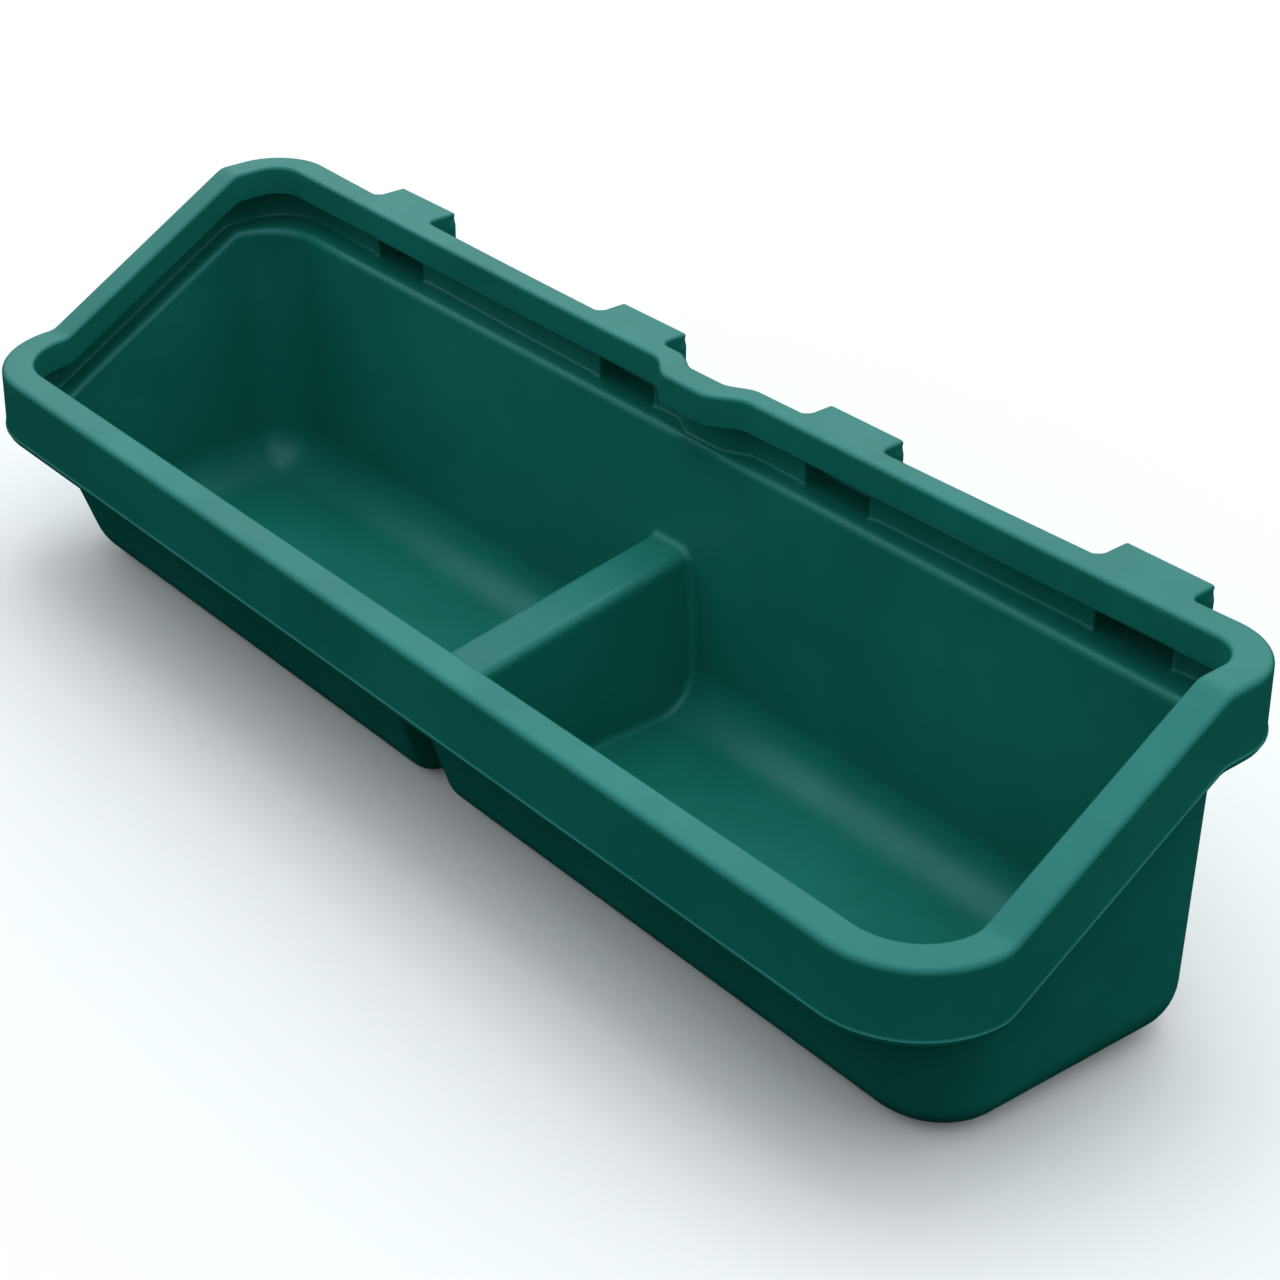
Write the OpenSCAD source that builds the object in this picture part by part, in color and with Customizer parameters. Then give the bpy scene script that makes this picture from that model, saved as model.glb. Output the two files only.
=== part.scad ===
// Hook-over trough feeder: one hollow rotational moulding in polyethylene with two feed
// bays, split here into its regions. X runs along the trough, +Y towards the rail that it
// hangs on, +Z up. The origin is the middle of the base, under the bounding box.

/* [Trough] */
// Outside length over the two end rails
length = 1200; // [1100:10:1400]
// Depth over the rim, front to back, at the ends
depth = 356; // [340:2:400]
// Height of the front rail's top above the base
front_h = 200; // [190:1:240]
// Rise of the back rail above the front rail
rise = 111; // [80:1:130]
// Wall thickness of the moulding
wall = 5; // [4:0.5:7]

/* [Rim] */
// Width of the rim's top face at the front and the ends
rim_w = 29; // [24:1:34]
// Width of the rim's top face in the middle of the back rail
rim_w_mid = 22.5; // [20:0.5:28]
// Height of the skirt down to the parting line
skirt_h = 57; // [50:1:60]
// Flare of the skirt, from its top to the parting line
skirt_flare = 2.5; // [0:0.5:4]
// Depth of the inner lip below the rim's top
lip_h = 27; // [20:1:32]
// Outer corner radius at the front
front_r = 84; // [70:1:100]
// Outer corner radius at the back
back_r = 54; // [45:1:70]
// Where the end rails start to climb, from the front
climb_start = 86; // [80:1:95]
// Where the end rails stop climbing, from the front
climb_end = 277; // [260:1:285]
// How far the middle of the back rail bows forward
bow = 11; // [0:1:14]

/* [Scoop] */
// Place of the scoop's centre along the back rail
scoop_x = 31; // [0:1:40]
// Depth of the scoop on the rim's inner edge
scoop_d = 18.5; // [10:0.5:20]
// Width of the scoop over its two flanks
scoop_w = 108; // [90:2:120]

/* [Hooks] */
// Width of each hook along the rail
hook_w = 80; // [60:1:90]
// Reach of an outer hook behind the front rail's face
hook_y_outer = 380; // [375:1:390]
// Reach of an inner hook behind the front rail's face
hook_y_inner = 370.5; // [368:0.5:380]
// Thickness of the tongue that hangs behind the rail
tongue_t = 8; // [6:0.5:10]
// Drop of the tongue below the rim's top
tongue_h = 112; // [95:1:130]

/* [Tub] */
// Tub depth at the front rail's skirt, measured from the rim's front
tub_front = 38; // [34:1:44]
// Outside face of the tub's back wall, measured from the rim's front
tub_back = 328; // [320:1:332]
// Half of the tub's outside length under the end rails
tub_half = 582; // [575:1:586]
// Half of the tub's outside length at the base, at its front
base_half_front = 568; // [560:1:575]
// Half of the tub's outside length at the base, at its back
base_half_back = 581; // [570:1:585]
// How far the front wall stands back at the base
base_front = 65; // [60:1:80]
// Radius round the base's bottom edge
base_r = 47; // [40:1:52]

/* [Divider] */
// Half of the divider's width at its crest
crest_half = 15; // [12:1:20]
// Half of the divider's width at the floor
foot_half = 36; // [30:1:42]
// Depth of the crest below the front rail's top, at the tub's front
crest_drop_front = 94; // [80:1:110]
// Depth of the crest below the front rail's top, at the tub's back
crest_drop_back = 49; // [40:1:80]

/* [Hidden] */
half = length / 2;
joint_h = 70;            // where the rim's ledge ends and the tub's walls begin
top_r = 8;               // rounding of the rim's outer top edge
lip_r = 5;               // rounding of the rim's inner top edge
foot_r = 7;              // rounding under the skirt
bend_r = 3;              // roundings of the ledge inside the skirt
ledge = wall - skirt_h - foot_r;     // top of the ledge that joins the skirt to the tub
tub_r = 55;              // the tub's corner radius at the back
inner_bow = 4.5;         // bow of the back rail's inner edge
bend = 9;                // half the length over which a bend in the end rails turns
corner_n = 14;           // steps round a corner
front_cut = half - front_r;          // the front rail ends here
tub_front_r = tub_half - front_cut;  // the tub's corner radius at the front
end_cut_front = tub_front + tub_front_r;   // the end rails start here
end_cut_back = tub_back - tub_r;     // and end here
back_cut = tub_half - tub_r;         // the back rail starts here
straight_w = 2 * (half - back_r);    // length of the bowed part of the back rail
y_low = -skirt_flare;
y_mid = (y_low + hook_y_outer) / 2;
hook_x = [-408, -79, 172, 463];      // hook centres along the back rail
hook_y = [hook_y_outer, hook_y_inner, hook_y_inner, hook_y_outer];
divider_half = 60;                   // the divider's node ends here
moulding = [0.08, 0.36, 0.31];

// ---- the rim's line --------------------------------------------------------------------

// Height of the rim's top at y: level, a straight climb, level, with short round bends.
function ramp(t) = t <= -bend ? 0 : t >= bend ? t : pow(t + bend, 2) / (4 * bend);
function rim_z(y) = (ramp(y - climb_start) - ramp(y - climb_end))
                    * rise / (climb_end - climb_start);

function bow_at(x) = max(0, 1 - pow(2 * x / straight_w, 2));
function scoop_at(x) =
    let (d = abs(x - scoop_x), flat = 0.17 * scoop_w)
    d <= flat ? 1 : d >= scoop_w / 2 ? 0
    : 0.5 + 0.5 * cos(180 * (d - flat) / (scoop_w / 2 - flat));
function back_outer(x) = depth - bow * bow_at(x) - (scoop_d - 6) * scoop_at(x);
function back_inner(x) = depth - rim_w - inner_bow * bow_at(x) - scoop_d * scoop_at(x);

// A point at distance s along a straight, a corner of radius r about c, and a straight.
// It starts on x = x0 heading +X and ends heading +Y: [x, y, outward x, outward y].
function corner_at(s, x0, c, r) =
    let (a = c[0] - x0, arc = PI * r / 2)
    s <= a ? [x0 + s, c[1] - r, 0, -1]
    : s >= a + arc ? [c[0] + r, c[1] + s - a - arc, 1, 0]
    : let (t = (s - a) / r * 180 / PI) [c[0] + r * sin(t), c[1] - r * cos(t), sin(t), -cos(t)];
function corner_len(x0, y1, c, r) = c[0] - x0 + PI * r / 2 + y1 - c[1];
function flip_y(p) = [p[0], depth - p[1], p[2], -p[3]];

// A station joins a point of the rim's outer line, the rim's width there and a point of
// the tub's outer line: [rim point, width, tub point].
function front_corner_station(i) =
    let (rc = [half - front_r, front_r], tc = [tub_half - tub_front_r, end_cut_front],
         u = i / corner_n,
         rs = u * corner_len(front_cut, end_cut_front, rc, front_r),
         ts = u * corner_len(front_cut, end_cut_front, tc, tub_front_r))
    [corner_at(rs, front_cut, rc, front_r), rim_w, corner_at(ts, front_cut, tc, tub_front_r)];
function back_corner_station(i) =
    let (y1 = depth - end_cut_back,
         rc = [half - back_r, back_r], tc = [tub_half - tub_r, depth - tub_back + tub_r],
         u = i / corner_n,
         rs = u * corner_len(back_cut, y1, rc, back_r),
         ts = u * corner_len(back_cut, y1, tc, tub_r),
         p = flip_y(corner_at(rs, back_cut, rc, back_r)),
         x = p[0], k = p[3] > 0.999 ? 1 : 0)
    [[x, k > 0 ? back_outer(x) : p[1], p[2], p[3]],
     k > 0 ? back_outer(x) - back_inner(x) : rim_w,
     flip_y(corner_at(ts, back_cut, tc, tub_r))];
function back_station(x) =
    [[x, back_outer(x), 0, 1], back_outer(x) - back_inner(x), [x, tub_back, 0, 1]];
function end_station(y) = [[half, y, 1, 0], rim_w, [tub_half, y, 1, 0]];
function front_station(x) = [[x, 0, 0, -1], rim_w, [x, tub_front, 0, -1]];

// ---- the rim's section -----------------------------------------------------------------

// Points are [line, outward, up]; line 0 is the rim's outer line, 1 its inner line and
// 2 the tub's outer line. The section is one closed outline round the wall.
function quarter(line, o, v, r, from, to, n = 3) =
    [for (i = [0:n]) let (a = from + (to - from) * i / n) [line, o + r * cos(a), v + r * sin(a)]];
rim_section = concat(
    [[2, 0, -joint_h], [2, 0, -skirt_h - foot_r]],
    quarter(0, skirt_flare - foot_r, -skirt_h, foot_r, -80, 0),
    quarter(0, -top_r, -top_r, top_r, 5, 90),
    quarter(1, lip_r, -lip_r, lip_r, 90, 180),
    [[1, 0, -lip_h], [1, wall, -lip_h]],
    quarter(1, wall + 3, -wall - 3, 3, 180, 90, 1),
    quarter(0, -wall - 4, -wall - 4, 4, 90, 5, 2),
    quarter(0, skirt_flare - wall - bend_r, ledge + bend_r, bend_r, 0, -90, 2),
    quarter(2, -wall + bend_r, ledge - bend_r, bend_r, 90, 180, 2),
    [[2, -wall, -joint_h]]);

function place(st, q) =
    let (tub = q[0] == 2, base = tub ? st[2] : st[0],
         o = q[1] - (q[0] == 1 ? st[1] : 0),
         x = base[0] + base[2] * o, y = base[1] + base[3] * o)
    [x, y, rim_z(y) + q[2]];

// Pairs of section points across the wall, from the tub to the lip. Two pairs in a row
// bound a convex piece of the section, so the ends of a rail are closed by such pieces.
across = [[0, 27], [1, 26], [1, 25], [1, 24], [2, 23], [3, 22], [4, 21], [5, 21], [6, 20],
          [7, 19], [8, 18], [9, 18], [10, 17], [11, 17], [12, 16], [13, 16], [14, 15]];
end_faces = [for (k = [0:len(across) - 2]) let (a = across[k], b = across[k + 1])
    a[0] == b[0] ? [a[0], b[1], a[1]] : a[1] == b[1] ? [a[0], b[0], a[1]]
    : [a[0], b[0], b[1], a[1]]];
function turned(face) = [for (i = [len(face) - 1:-1:0]) face[i]];

// A closed solid from rings of points, each ring one section of the rim.
module skin(rings) {
    n = len(rings[0]);
    m = len(rings);
    sides = [for (k = [0:m - 2], i = [0:n - 1])
        let (a = k * n + i, b = k * n + (i + 1) % n, c = b + n, d = a + n)
        each [[a, b, c], [a, c, d]]];
    first = [for (f = end_faces) turned(f)];
    last = [for (f = end_faces) [for (v = f) (m - 1) * n + v]];
    polyhedron([for (r = rings) each r], concat(sides, first, last), convexity = 8);
}
module rim(stations) skin([for (s = stations) [for (q = rim_section) place(s, q)]]);

// Everything is drawn with the rim's front top edge at the origin and then placed.
module seat() translate([0, -y_mid, front_h]) children();
module mirrored() mirror([1, 0, 0]) children();

module front_rail() color(moulding) seat()
    rim([front_station(-front_cut), front_station(front_cut)]);
module front_corner() rim([for (i = [0:corner_n]) front_corner_station(i)]);
module end_rail() rim([end_station(end_cut_front), end_station(end_cut_back)]);
module back_corner() rim([for (i = [corner_n:-1:0]) back_corner_station(i)]);
module front_right_corner() color(moulding) seat() front_corner();
module front_left_corner() color(moulding) seat() mirrored() front_corner();
module right_end_rail() color(moulding) seat() end_rail();
module left_end_rail() color(moulding) seat() mirrored() end_rail();
module back_right_corner() color(moulding) seat() back_corner();
module back_left_corner() color(moulding) seat() mirrored() back_corner();

// The back rail between two places along X, in steps that follow its bow and scoop.
module back_rail(x0, x1, step = 24) color(moulding) seat() {
    n = ceil((x1 - x0) / step);
    rim([for (i = [0:n]) back_station(x1 + (x0 - x1) * i / n)]);
}
function hook_left(i) = hook_x[i] - hook_w / 2;
function hook_right(i) = hook_x[i] + hook_w / 2;
module back_rail_1() back_rail(-back_cut, hook_left(0));
module back_rail_2() back_rail(hook_right(0), hook_left(1));
module back_rail_3() back_rail(hook_right(1), hook_left(2), 6);
module back_rail_4() back_rail(hook_right(2), hook_left(3));
module back_rail_5() back_rail(hook_right(3), back_cut);

// ---- hooks -----------------------------------------------------------------------------

// A hook is the rim widened backwards into a hollow box with a tongue behind the rail.
// Its outline is drawn in Y and Z and extruded along X, with a plate closing each side.
module hook_outline(i) {
    x = hook_x[i];
    y0 = back_inner(x);
    y1 = hook_y[i];
    under = rise - skirt_h - foot_r;
    polygon([[tub_back, rise - joint_h], [tub_back, under], [y1 - tongue_t, under],
             [y1 - tongue_t, rise - tongue_h + 3], [y1 - tongue_t + 3, rise - tongue_h],
             [y1 - 3, rise - tongue_h], [y1, rise - tongue_h + 3],
             [y1, rise - 6], [y1 - 2, rise - 2], [y1 - 6, rise],
             [y0 + lip_r, rise], [y0 + 1.5, rise - 1.5], [y0, rise - lip_r],
             [y0, rise - lip_h], [y0 + wall, rise - lip_h], [y0 + wall, rise - wall - 2],
             [y0 + wall + 2, rise - wall], [y1 - wall - 3, rise - wall],
             [y1 - wall, rise - wall - 3], [y1 - wall, under + wall],
             [tub_back + 2, under + wall], [tub_back - wall, under - 2],
             [tub_back - wall, rise - joint_h]]);
}
module hook_side(i) {
    y0 = back_outer(hook_x[i]) - 8;
    y1 = hook_y[i] - wall + 1;
    under = rise - skirt_h - foot_r + wall - 1;
    polygon([[y0, under], [y1, under], [y1, rise - wall + 1], [y0, rise - wall + 1]]);
}
module along_x(w) rotate([90, 0, 90]) linear_extrude(height = w) children();
module hook(i) color(moulding) seat() union() {
    translate([hook_left(i), 0, 0]) along_x(hook_w) hook_outline(i);
    translate([hook_left(i), 0, 0]) along_x(wall) hook_side(i);
    translate([hook_right(i) - wall, 0, 0]) along_x(wall) hook_side(i);
}
module hook_1() hook(0);
module hook_2() hook(1);
module hook_3() hook(2);
module hook_4() hook(3);

// ---- tub -------------------------------------------------------------------------------

// How far the tub's wall has moved in where it reaches the base, and the foot's place.
function base_half(y) = base_half_front + (base_half_back - base_half_front)
    * min(1, max(0, (y - base_front) / (tub_back - base_front)));
function foot(p) = [
    p[0] - (p[0] > divider_half ? tub_half - base_half(p[1]) : 0),
    p[1] + (base_front - tub_front) * max(0, (tub_back - p[1]) / (tub_back - tub_front))];
// The wall's lean off upright that makes it run smoothly into the rounded bottom edge.
function lean(p) =
    let (f = foot(p), s = p[2] * (p[0] - f[0]) + p[3] * (p[1] - f[1]),
         rise_a = rim_z(p[1]) - joint_h + front_h - base_r, run = max(0, s) + base_r)
    acos(base_r / norm([rise_a, run])) - atan2(rise_a, run);

// A point of the tub's skin, t inside its outer face. Level -1 is the joint with the rim,
// 0 the top of the rounded bottom edge and 1 the floor.
function tub_point(p, level, t) =
    level < 0 ? let (x = p[0] - p[2] * t, y = p[1] - p[3] * t) [x, y, rim_z(y) - joint_h]
    : let (f = foot(p), a = lean(p) + (90 - lean(p)) * level, d = base_r - (base_r - t) * cos(a))
      [f[0] - p[2] * d, f[1] - p[3] * d, base_r - front_h - (base_r - t) * sin(a)];
levels = [-1, 0, 0.17, 0.33, 0.5, 0.67, 0.83, 1];
function reversed(list) = [for (i = [len(list) - 1:-1:0]) list[i]];

// One bay: a shell, open at the top and at the side where it meets the divider.
module bay() {
    path = concat([[divider_half, tub_front, 0, -1]],
                  [for (i = [0:corner_n]) front_corner_station(i)[2]],
                  [for (i = [corner_n:-1:0]) back_corner_station(i)[2]],
                  [[divider_half, tub_back, 0, 1]]);
    n = len(path);
    m = len(levels);
    outer = [for (k = levels, p = path) tub_point(p, k, 0)];
    inner = [for (k = levels, p = path) tub_point(p, k, wall)];
    skins = [for (k = [0:m - 2], i = [0:n - 2])
        let (a = k * n + i, b = a + 1, c = b + n, d = a + n, e = n * m)
        each [[a, b, c], [a, c, d], [a + e, c + e, b + e], [a + e, d + e, c + e]]];
    edge = [for (i = [0:n - 2]) let (e = n * m)
        each [[i, i + e, i + 1 + e], [i, i + 1 + e, i + 1]]];
    floors = [[for (i = [0:n - 1]) (m - 1) * n + i],
              [for (i = [n - 1:-1:0]) (2 * m - 1) * n + i]];
    cuts = [for (k = [0:m - 2]) let (a = k * n, e = n * m)
        each [[a, a + n, a + n + e, a + e], [a + n - 1, a + n - 1 + e, a + 2 * n - 1 + e,
              a + 2 * n - 1]]];
    sill = [[(m - 1) * n, m * n - 1, 2 * m * n - 1, (2 * m - 1) * n]];
    polyhedron(concat(outer, inner), concat(skins, edge, floors, cuts, sill), convexity = 8);
}
module right_bay() color(moulding) seat() bay();
module left_bay() color(moulding) seat() mirrored() bay();

// The tub's outline in Y and Z in its middle, t inside the outer face.
module tub_outline(t, above) {
    front = [for (k = levels) tub_point([0, tub_front, 0, -1], k, t)];
    back = [for (k = levels) tub_point([0, tub_back, 0, 1], k, t)];
    line = [for (p = concat(front, reversed(back))) [p[1], p[2]]];
    last = len(line) - 1;
    polygon(concat([[line[0][0], line[0][1] + above]], line,
                   [[line[last][0], line[last][1] + above]]));
}
module across_middle() translate([-divider_half, 0, 0]) along_x(2 * divider_half) children();

// The fold that makes the divider, t inside its outer face: a ridge that rises backwards.
module fold(t) {
    fall = (crest_drop_front - crest_drop_back) / (tub_back - tub_front);
    slope = atan(fall);
    foot_w = foot_half - t;
    crest_w = crest_half - t / 2;
    translate([0, tub_front, -crest_drop_front]) rotate([90 + slope, 0, 0])
        translate([0, 0, -tub_back]) linear_extrude(height = tub_back + 40)
            polygon([[-foot_w - 6, -220], [-crest_w - 11, -12 - t], [-crest_w - 7, -4 - t],
                     [-crest_w, -t], [crest_w, -t], [crest_w + 7, -4 - t],
                     [crest_w + 11, -12 - t], [foot_w + 6, -220]]);
}
module divider() color(moulding) seat() difference() {
    across_middle() tub_outline(0, 0);
    difference() {
        across_middle() tub_outline(wall, 40);
        fold(0);
    }
    fold(wall);
}

left_bay();
right_bay();
divider();
front_rail();
front_left_corner();
front_right_corner();
left_end_rail();
right_end_rail();
back_left_corner();
back_right_corner();
back_rail_1();
back_rail_2();
back_rail_3();
back_rail_4();
back_rail_5();
hook_1();
hook_2();
hook_3();
hook_4();
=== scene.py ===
"""Looks of a hook-over trough feeder: one hollow moulding in green polyethylene.

The moulding is built as one smooth skin in the rim's own frame, in millimetres: x = 0 in the
middle, y = 0 on the front rim's outer line and z = 0 on the front rim's top. The skin is then
cut into one closed piece for each CAD node, and the pieces share their normals at the cuts.
"""
import math

import bpy
import numpy as np
from mathutils import Matrix, Vector


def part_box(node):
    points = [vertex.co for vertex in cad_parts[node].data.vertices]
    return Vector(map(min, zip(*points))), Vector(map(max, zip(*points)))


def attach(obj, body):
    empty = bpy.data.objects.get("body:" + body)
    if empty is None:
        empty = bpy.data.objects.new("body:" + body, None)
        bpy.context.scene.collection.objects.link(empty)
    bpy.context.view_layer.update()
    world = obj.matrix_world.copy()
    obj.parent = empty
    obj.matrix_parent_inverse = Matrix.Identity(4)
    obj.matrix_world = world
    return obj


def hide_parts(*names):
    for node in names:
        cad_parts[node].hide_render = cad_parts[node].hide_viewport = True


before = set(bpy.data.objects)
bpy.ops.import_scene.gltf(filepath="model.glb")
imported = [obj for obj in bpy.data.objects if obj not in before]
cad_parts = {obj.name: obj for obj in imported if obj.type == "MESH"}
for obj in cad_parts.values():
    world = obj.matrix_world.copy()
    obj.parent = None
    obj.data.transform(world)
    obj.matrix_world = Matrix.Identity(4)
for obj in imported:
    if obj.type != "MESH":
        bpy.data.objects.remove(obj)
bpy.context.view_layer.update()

# ---- sizes in millimetres, from the frame and from the mould's own proportions ----------

MM = 0.001


def edge(node, end, axis):
    """A side of a CAD node's box in millimetres: end 0 is the low one and 1 the high one."""
    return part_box(node)[end][axis] / MM


FLARE = 2.5                # the skirt stands out this far at its parting line
WALL = 5.0
HALF = edge("right_end_rail", 1, 0) - FLARE
FRONT_Y = edge("front_rail", 0, 1) + FLARE       # the rim frame's origin in the CAD frame
TOP_Z = edge("front_rail", 1, 2)
RISE = edge("back_left_corner", 1, 2) - TOP_Z
DEPTH = edge("back_left_corner", 1, 1) - FLARE - FRONT_Y
TUB_BACK = edge("left_bay", 1, 1) - FRONT_Y
TUB_HALF = edge("right_bay", 1, 0)
TUB_FRONT = edge("left_bay", 0, 1) - FRONT_Y
FRONT_CUT = edge("front_rail", 1, 0)
BACK_CUT = edge("back_right_corner", 0, 0)
DIVIDER_HALF = edge("divider", 1, 0)
END_CUT_FRONT = edge("right_end_rail", 0, 1) - FRONT_Y
END_CUT_BACK = edge("right_end_rail", 1, 1) - FRONT_Y

RIM_W = 29.0               # width of the rim's top at the front and the ends
SKIRT_H = 57.0             # down to the parting line
LIP_H = 27.0
JOINT_H = 70.0             # where the rim's ledge ends and the tub's walls begin
TOP_R = 5.5                # rounding of the rim's outer top edge
LIP_R = 3.5                # and of its inner top edge
LIP_EDGE_R = 1.2           # the lip's lower edge
CHANNEL_LIP_R = 3.0        # inside the rim, above the lip
CHANNEL_TOP_R = 4.0        # inside the rim, under its outer top edge
FOOT_R = 7.0               # under the skirt
BEND_R = 3.0               # where the skirt's inside turns into the ledge
SHOULDER_R = 7.0           # where the ledge turns down into the tub
SHOULDER_GAP = 0.3         # least length of ledge between those two
FILLET = 2.0               # outside, between the rim's underside and the tub
LEDGE = WALL - SKIRT_H - FOOT_R
RIDGE = 1.0                # the mould's parting line stands this proud of the skirt
RIDGE_HALF = 0.5           # half of the ridge's thickness at its edge
RIDGE_FOOT_HALF = 0.9      # and where it leaves the skirt
SEAM_V = -SKIRT_H + 1.0    # the ridge's level, from the rim's top
FRONT_R = HALF - FRONT_CUT
BACK_R = 54.0
TUB_BACK_R = TUB_HALF - BACK_CUT
TUB_FRONT_R = TUB_HALF - FRONT_CUT
CLIMB_START = 86.0         # the end rails rise between these distances from the front
CLIMB_END = 277.0
BEND = 4.5                 # half the length over which a bend in the end rails turns
BOW = 11.0                 # how far the back rail's outer edge bows in
INNER_BOW = 4.5            # and its inner edge
SCOOP_X = 31.0
SCOOP_D = 18.5             # the scoop in the back rail's inner edge: depth,
SCOOP_FLAT = 20.0          # half of its flat middle
SCOOP_HALF = 58.0          # and half of its length
SCOOP_OUT_D = 12.5         # the same in its outer edge
SCOOP_OUT_FLAT = 17.0
SCOOP_OUT_HALF = 49.0
BASE_HALF_FRONT = 568.0    # half of the tub's length at its base, at the front and the back
BASE_HALF_BACK = 581.0
BASE_FRONT = 65.0          # the base's front edge
BASE_R = 47.0              # the rounded bottom edge

HOOKS = [f"hook_{i}" for i in (1, 2, 3, 4)]
HOOK_SPANS = {h: (edge(h, 0, 0), edge(h, 1, 0)) for h in HOOKS}
HOOK_BACK = {h: edge(h, 1, 1) - FRONT_Y for h in HOOKS}
HOOK_MARGIN = 12.0         # the rim's stretch that is made with a hook, on each side of it
TONGUE_T = 8.0
TONGUE_TOP = 9.0           # the tongue starts this far under the hook's top
ARM_START = 4.0            # the arm, its hollow and its top plate reach this far into the rim
HOLLOW_START = 11.0
PLATE_START = 14.0
TONGUE_LOW = edge("hook_1", 0, 2) - TOP_Z
HOOK_EDGE_R = 3.5
PLATE_EDGE_R = 2.4         # the hook's top plate
HOOK_HOLLOW_R = 2.0
ARM_BLEND = 4.0            # fillet between a hook's arm and its tongue
RIM_BLEND = 6.0            # fillet between a hook and the rim

CREST_FRONT = -94.0        # height of the divider's crest at the tub's front
CREST_BACK = -49.0         # and at its back
SIDE_HALF = 24.0           # half of the divider's width under its crest
SIDE_TAPER = 0.059
CREST_R = 9.0
CREST_R_BELOW = 6.0        # the same edge on the divider's hollow side
FOLD_R = 6.0               # fillet between the divider and the tub

STRAIGHT_STEP = 24.0       # about how far apart the mesh's stations are on the front rail,
BACK_STEP = 12.0           # on the back rail
SCOOP_STEP = 2.5           # and on its stretch with the scoop
HOOK_STEP_X = 1.6          # size of the cells from which a hook's surface is made
HOOK_STEP_Y = 1.5
HOOK_ROWS = 72             # so many rows of cells reach from the joint at the back
HOOK_ROWS_DOWN = 66.0      # to this far under the front rim's top
FOLD_STEP = 2.0            # the cells for the divider, in x and y
FOLD_ROWS = 56             # and their rows from the joint at the front to that at the back
SPARE = 4.0                # free space left over and under a surface that is made from cells
AT_PLANE = 0.01            # tolerance for a cell's centre at a plane, in mm or in cells
WELD = 0.004               # points in the same cell of this size are one


# ---- the rim's line ----------------------------------------------------------------------

def ramp(t):
    """0 before t = 0 and t after it, with a rounded bend between."""
    bent = (t + BEND) ** 2 / (4 * BEND)
    return np.where(t <= -BEND, 0, np.where(t >= BEND, t, bent))


def rim_z(y):
    y = np.asarray(y, float)
    return (ramp(y - CLIMB_START) - ramp(y - CLIMB_END)) * RISE / (CLIMB_END - CLIMB_START)


def bow_at(x):
    return np.maximum(0, 1 - (x / (HALF - BACK_R)) ** 2)


def scoop_at(x, flat, half):
    d = np.abs(x - SCOOP_X)
    flank = 0.5 + 0.5 * np.cos(np.pi * np.clip((d - flat) / (half - flat), 0, 1))
    return np.where(d <= flat, 1, flank)


def back_outer(x):
    x = np.asarray(x, float)
    return DEPTH - BOW * bow_at(x) - SCOOP_OUT_D * scoop_at(x, SCOOP_OUT_FLAT, SCOOP_OUT_HALF)


def back_inner(x):
    x = np.asarray(x, float)
    return DEPTH - RIM_W - INNER_BOW * bow_at(x) - SCOOP_D * scoop_at(x, SCOOP_FLAT, SCOOP_HALF)


# A line in plan is a list of rows [x, y, outward x, outward y].

def corner_line(u, x0, centre, radius, y1):
    """Points at shares u of a path: along y = const from x0, round a corner, up to y1."""
    a, arc = centre[0] - x0, math.pi / 2 * radius
    s = np.asarray(u) * (a + arc + y1 - centre[1])
    t = np.clip((s - a) / radius, 0, math.pi / 2)
    nx, ny = np.sin(t), -np.cos(t)
    x = centre[0] + radius * nx + np.minimum(s - a, 0)
    y = centre[1] + radius * ny + np.maximum(s - a - arc, 0)
    return np.stack([x, y, nx, ny], 1)


def flipped(line, y_sum):
    """The line mirrored in y about y_sum / 2."""
    return line * [1, -1, 1, -1] + [0, y_sum, 0, 0]


def straight(xs, y, facing):
    xs = np.asarray(xs, float)
    return np.stack([xs, np.broadcast_to(y, xs.shape), 0 * xs, 0 * xs + facing], 1)


CORNER_STEPS = np.linspace(0, 1, 49)


def front_corner():
    rim = corner_line(CORNER_STEPS, FRONT_CUT, (HALF - FRONT_R, FRONT_R), FRONT_R, END_CUT_FRONT)
    tub = corner_line(CORNER_STEPS, FRONT_CUT, (TUB_HALF - TUB_FRONT_R, TUB_FRONT + TUB_FRONT_R),
                      TUB_FRONT_R, END_CUT_FRONT)
    return rim, tub, np.full(len(rim), RIM_W)


def end_run():
    bend = CLIMB_END - BEND         # the upper bend starts here and has finer steps
    ys = np.concatenate([np.linspace(END_CUT_FRONT, bend - 3, 14),
                         np.arange(bend, END_CUT_BACK - 1, 2.0), [END_CUT_BACK]])
    line = np.stack([0 * ys + HALF, ys, 0 * ys + 1, 0 * ys], 1)
    tub = line.copy()
    tub[:, 0] = TUB_HALF
    return line, tub, np.full(len(ys), RIM_W)


def back_corner():
    y1 = DEPTH - END_CUT_BACK
    rim = flipped(corner_line(CORNER_STEPS, BACK_CUT, (HALF - BACK_R, BACK_R), BACK_R, y1), DEPTH)
    tub = flipped(corner_line(CORNER_STEPS, BACK_CUT, (TUB_HALF - TUB_BACK_R,
                  DEPTH - TUB_BACK + TUB_BACK_R), TUB_BACK_R, y1), DEPTH)
    on_back = rim[:, 3] > 0.9999
    rim[on_back, 1] = back_outer(rim[on_back, 0])
    width = np.where(on_back, back_outer(rim[:, 0]) - back_inner(rim[:, 0]), RIM_W)
    return rim[::-1], tub[::-1], width[::-1]


def back_run(xs):
    return (straight(xs, back_outer(xs), 1), straight(xs, TUB_BACK, 1),
            back_outer(xs) - back_inner(xs))


def front_run(xs):
    return straight(xs, 0, -1), straight(xs, TUB_FRONT, -1), np.full(len(xs), RIM_W)


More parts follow.
